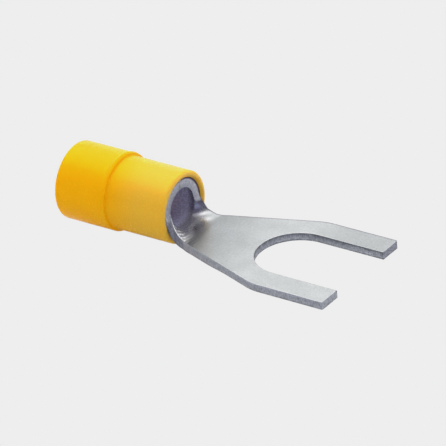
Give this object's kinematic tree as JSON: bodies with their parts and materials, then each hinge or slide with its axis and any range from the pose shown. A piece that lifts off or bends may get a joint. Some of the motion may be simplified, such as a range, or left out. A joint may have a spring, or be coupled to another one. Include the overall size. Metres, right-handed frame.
{
  "type": "insulated fork terminal",
  "caption": "Crimp-on wire terminal: a flat open-ended fork that slides under a stud nut or screw head, with a rolled barrel inside a yellow plastic wire-entry sleeve.",
  "frame": {"origin": "on the wire's axis, halfway along the terminal from the sleeve's rear end to the tips of the tines", "axes": "+X along the wire's axis towards the tips of the tines; +Z square to the flat tongue, towards the side that the barrel stands up from"},
  "size_m": [0.0342, 0.0138, 0.0083],
  "materials": {
    "tinned_metal": "satin tin plate over copper sheet, sheared edges rougher and darker",
    "yellow_plastic": "semi-gloss, slightly translucent moulded plastic",
    "braze_metal": "dull filler metal under tin plate"
  },
  "bodies": {
    "root": {"fork_terminal": "tinned_metal", "insulation_sleeve": "yellow_plastic", "seam_braze": "braze_metal"}
  },
  "joints": []
}
